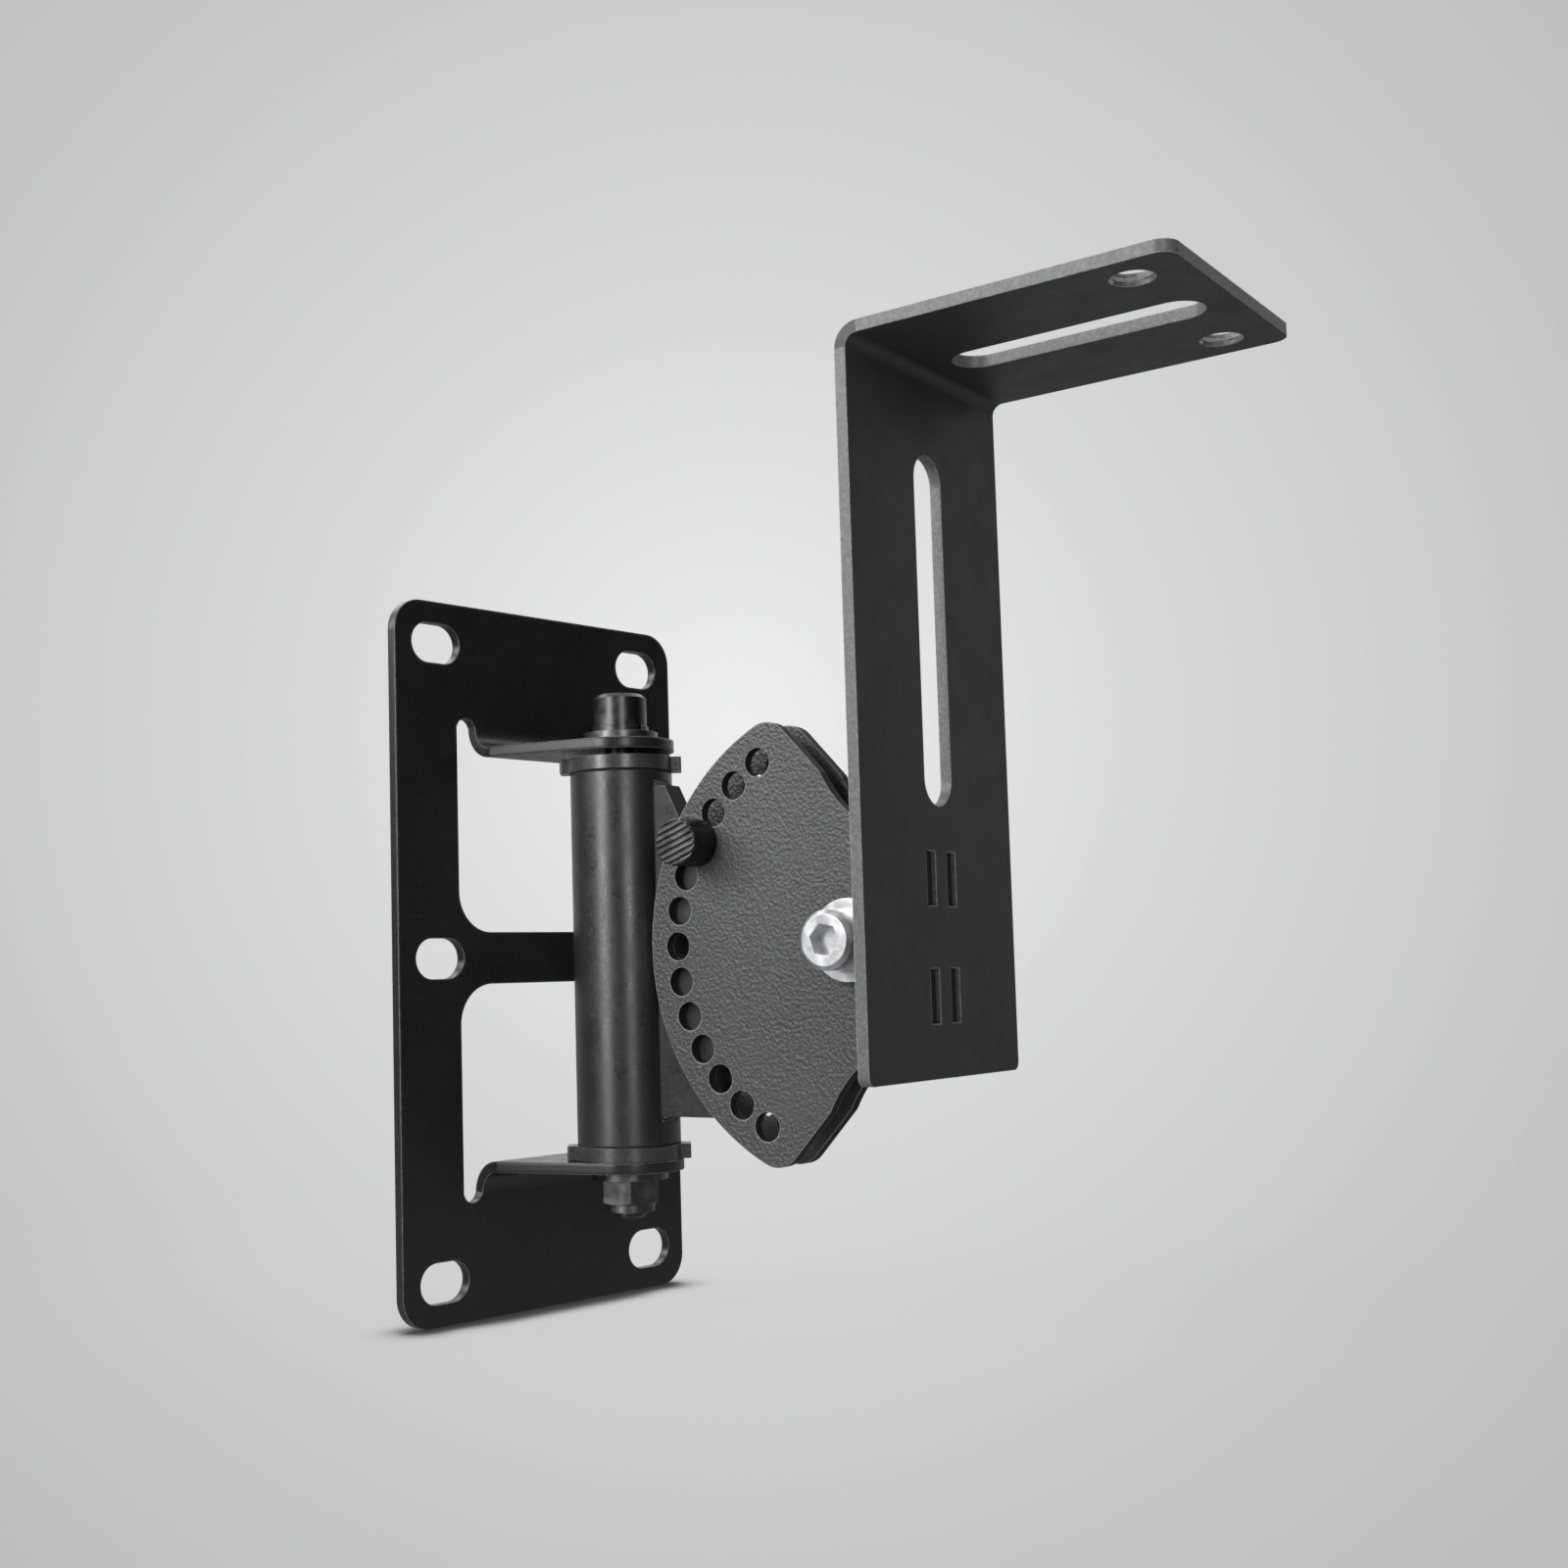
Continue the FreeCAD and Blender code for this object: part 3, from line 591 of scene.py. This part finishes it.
def wound_ridge(name, root, crest, pitch, low, high):
    """A V ridge wound round the Z axis, with its middle line from a low height to a high one."""
    outwards = 1.0 if crest > root else -1.0
    profile_radius = RIDGE_RADIUS * pitch
    depth_scale = abs(crest - root) / (TRIANGLE_DEPTH * profile_radius)
    middle = root + outwards * profile_radius * depth_scale / 2
    bpy.ops.object.select_all(action="DESELECT")
    bpy.ops.mesh.primitive_circle_add(vertices=3, radius=profile_radius, fill_type="NOTHING",
                                      rotation=(math.pi / 2, outwards * math.pi / 2, 0.0))
    ridge = bpy.context.object
    ridge.name = name
    bpy.ops.object.transform_apply(location=False, rotation=True, scale=False)
    ridge.scale = (depth_scale, 1.0, 1.0)
    ridge.location = (middle, 0.0, low)
    bpy.ops.object.transform_apply(location=True, rotation=True, scale=True)
    turns = (high - low) / pitch
    wind = ridge.modifiers.new("wind", "SCREW")
    wind.axis = "Z"
    wind.angle = 2 * math.pi * turns
    wind.screw_offset = high - low
    wind.steps = int(STEPS_PER_TURN * turns)
    wind.render_steps = wind.steps
    bpy.ops.object.modifier_apply(modifier="wind")
    bpy.ops.object.mode_set(mode="EDIT")
    bpy.ops.mesh.select_all(action="SELECT")
    bpy.ops.mesh.fill_holes(sides=3)
    bpy.ops.mesh.select_all(action="SELECT")
    bpy.ops.mesh.normals_make_consistent(inside=False)
    bpy.ops.object.mode_set(mode="OBJECT")
    return ridge


def stand_at(piece, place, axis):
    """Turns a piece made round the Z axis to its own axis and puts it in its place."""
    piece.rotation_mode = "QUATERNION"
    piece.rotation_quaternion = axis.to_track_quat("Z", "Y")
    piece.location = place
    bpy.ops.object.select_all(action="DESELECT")
    piece.select_set(True)
    bpy.context.view_layer.objects.active = piece
    bpy.ops.object.transform_apply(location=True, rotation=True, scale=True)
    bpy.ops.object.shade_smooth_by_angle(angle=SMOOTH_ANGLE)


class BRACKET_OT_threads(bpy.types.Operator):
    """Cut threads in the shelf's two holes and at the tips of the two bolts"""

    bl_idname = "bracket.threads"
    bl_label = "Threads"

    def execute(self, context):
        steel = cut_thread_steel()
        under_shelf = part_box("speaker_angle")[1].z - SHEET
        out = (PIVOT - TUBE_AXIS).xy.length + LEG_FROM_PIVOT + SHELF_HOLE_OUT
        for name, side in (("shelf_thread_near", -1), ("shelf_thread_far", 1)):
            hole = TUBE_AXIS + ARM_OUT * out + TILT_AXIS * (side * SHELF_HOLE_ASIDE)
            ridge = wound_ridge(name, **SHELF_THREAD)
            stand_at(ridge, Vector((hole.x, hole.y, under_shelf)), UP)
            self.finish_piece(ridge, steel, "arm", "angle_paint")
        tip = wound_ridge("hinge_bolt_thread", **BOLT_THREAD)
        stand_at(tip, Vector((TUBE_AXIS.x, TUBE_AXIS.y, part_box("hinge_nut_ring")[0].z)), -UP)
        self.finish_piece(tip, black_oxide("thread_black"), "wall", "black_oxide")
        tip = wound_ridge("tilt_bolt_thread", **BOLT_THREAD)
        stand_at(tip, PIVOT + TILT_AXIS * TILT_NUT_END, TILT_AXIS)
        self.finish_piece(tip, bright_zinc(), "arm", "zinc")
        return {"FINISHED"}

    def finish_piece(self, piece, material, body, slot):
        piece.data.materials.append(material)
        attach(piece, body)


# Stage

class BRACKET_OT_stage(bpy.types.Operator):
    """Camera, soft studio lamps, floor and backdrop"""

    bl_idname = "bracket.stage"
    bl_label = "Stage"

    def execute(self, context):
        stage = context.scene.bracket_stage
        place_camera(stage)
        floor_and_backdrop(stage)
        for name, place, size, power in LAMPS:
            studio_lamp(name, Vector(place), size, power)
        soft_world()
        context.scene.view_settings.view_transform = "Standard"
        return {"FINISHED"}


def camera_axes(stage):
    ahead = Vector((-math.sin(stage.azimuth) * math.cos(stage.elevation),
                    math.cos(stage.azimuth) * math.cos(stage.elevation), math.sin(stage.elevation)))
    right = ahead.cross(UP).normalized()
    up = right.cross(ahead)
    across = right * math.cos(stage.roll) + up * math.sin(stage.roll)
    upward = up * math.cos(stage.roll) - right * math.sin(stage.roll)
    return across, upward, ahead


def place_camera(stage):
    across, upward, ahead = camera_axes(stage)
    camera = bpy.data.cameras.new("camera")
    camera.lens = stage.focal_length
    camera.sensor_width = SENSOR
    camera.shift_x, camera.shift_y = stage.shift
    camera.clip_start = CLIP_START
    holder = bpy.data.objects.new("camera", camera)
    turn = Matrix((across, upward, -ahead)).transposed().to_4x4()
    holder.matrix_world = Matrix.Translation(Vector(stage.place)) @ turn
    bpy.context.scene.collection.objects.link(holder)
    bpy.context.scene.camera = holder


def floor_shade(tree, place):
    """The share of the floor's own lit colour, fading out far from the bracket."""
    far = abs(tree.axis(place, "X")).maximum(abs(tree.axis(place, "Y")))
    return tree.step(far, FLOOR_LIT_FROM, FLOOR_LIT_TO, FLOOR_LIT_SHARE, 0.0)


def contact_shade(tree):
    """Near 1 where the floor is close under the wall plate's foot."""
    open_sky = tree.node("ShaderNodeAmbientOcclusion", {"samples": CONTACT_SAMPLES},
                         {"Distance": CONTACT_DISTANCE}, "AO")
    return tree.step(open_sky, CONTACT_FROM, CONTACT_TO, CONTACT_DARK, 0.0)


def backdrop_material(stage, name, floor):
    """A pale glow that falls off from the middle, a painted falloff of light, by the direction from the
    camera's place.
    """
    material, tree = new_material(name)
    across, upward, ahead = camera_axes(stage)
    middle = (ahead + across * GLOW_ACROSS + upward * GLOW_UP).normalized()
    place = tree.coordinates()
    unit = tree.vector("NORMALIZE", tree.vector("SUBTRACT", place, tuple(stage.place)))
    along = tree.vector("DOT_PRODUCT", unit, tuple(middle), "Value")
    angle = tree.node("ShaderNodeMath", {"operation": "ARCCOSINE"}, {0: along})
    first, last = stage.middle_tone, stage.corner_tone
    bend = first - (first - last) * GLOW_BEND
    stops = [(0.0, grey(first)), (GLOW_BEND_AT, grey(bend)), (1.0, grey(last))]
    # Painted light: the glow is brightest in the middle and darker towards the corners.
    tone = tree.node("ShaderNodeValToRGB", {"stops": stops}, {0: angle / GLOW_ANGLE})
    seen = tree.mix(contact_shade(tree), tone, grey(0.01)) if floor else tone
    dusk = tree.step(angle, DUSK_FROM, DUSK_TO, 1.0, DUSK_LEFT)
    mirrored = tree.glow(tree.mix(dusk, grey(0.0), tone), FLOOR_MIRRORED if floor else 1.0)
    matte = tree.node("ShaderNodeBsdfDiffuse", None, {"Color": tone})
    direct = tree.node("ShaderNodeLightPath", out="Is Camera Ray")
    mirror = tree.node("ShaderNodeLightPath", out="Is Glossy Ray")
    shade = floor_shade(tree, place) if floor else 0.0
    tree.finish(tree.either(direct * (1 - shade), tree.either(mirror, matte, mirrored), tree.glow(seen)))
    return material


def floor_and_backdrop(stage):
    bottom = CAD_BOX[0][2]
    bpy.ops.object.select_all(action="DESELECT")
    bpy.ops.mesh.primitive_plane_add(size=FLOOR_SIZE, location=(0.0, 0.0, bottom - FLOOR_DROP))
    floor = bpy.context.object
    floor.name = "floor"
    bpy.ops.object.transform_apply(location=True, rotation=True, scale=True)
    floor.data.materials.append(backdrop_material(stage, "floor_paper", True))
    bpy.ops.object.select_all(action="DESELECT")
    bpy.ops.mesh.primitive_uv_sphere_add(segments=64, ring_count=32, radius=DOME_RADIUS,
                                         location=(0.0, 0.0, bottom))
    dome = bpy.context.object
    dome.name = "backdrop"
    bpy.ops.object.transform_apply(location=True, rotation=True, scale=True)
    dome.visible_shadow = False
    dome.visible_diffuse = False
    dome.data.materials.append(backdrop_material(stage, "backdrop_paper", False))


def studio_lamp(name, place, size, power):
    data = bpy.data.lights.new(name, "AREA")
    data.shape = "RECTANGLE"
    data.size, data.size_y = size
    data.energy = power
    holder = bpy.data.objects.new(name, data)
    holder.location = place
    holder.rotation_euler = (LAMP_TARGET - place).to_track_quat("-Z", "Y").to_euler()
    bpy.context.scene.collection.objects.link(holder)


def soft_world():
    world = bpy.data.worlds.new("studio")
    world.use_nodes = True
    background = world.node_tree.nodes["Background"]
    background.inputs["Color"].default_value = grey(1.0)
    background.inputs["Strength"].default_value = WORLD_STRENGTH
    bpy.context.scene.world = world


# Panel and registration

class BRACKET_PT_panel(bpy.types.Panel):
    """Lists the bracket's settings and its steps"""

    bl_label = "Bracket"
    bl_idname = "BRACKET_PT_panel"
    bl_space_type = "VIEW_3D"
    bl_region_type = "UI"
    bl_category = "Bracket"

    def draw(self, context):
        layout = self.layout
        for group in (context.scene.bracket_finish, context.scene.bracket_stage):
            for name in group.bl_rna.properties.keys():
                if name not in ("rna_type", "name"):
                    layout.prop(group, name)
        for operator in OPERATORS:
            layout.operator(operator.bl_idname)


OPERATORS = (BRACKET_OT_coats, BRACKET_OT_hardware, BRACKET_OT_threads, BRACKET_OT_stage)
CLASSES = (BracketFinish, BracketStage) + OPERATORS + (BRACKET_PT_panel,)


def register():
    for item in CLASSES:
        bpy.utils.register_class(item)
    bpy.types.Scene.bracket_finish = bpy.props.PointerProperty(type=BracketFinish)
    bpy.types.Scene.bracket_stage = bpy.props.PointerProperty(type=BracketStage)


def unregister():
    del bpy.types.Scene.bracket_stage
    del bpy.types.Scene.bracket_finish
    for item in reversed(CLASSES):
        bpy.utils.unregister_class(item)


def main():
    register()
    bpy.ops.bracket.coats()
    bpy.ops.bracket.hardware()
    bpy.ops.bracket.threads()
    bpy.ops.bracket.stage()


if __name__ == "__main__":
    main()
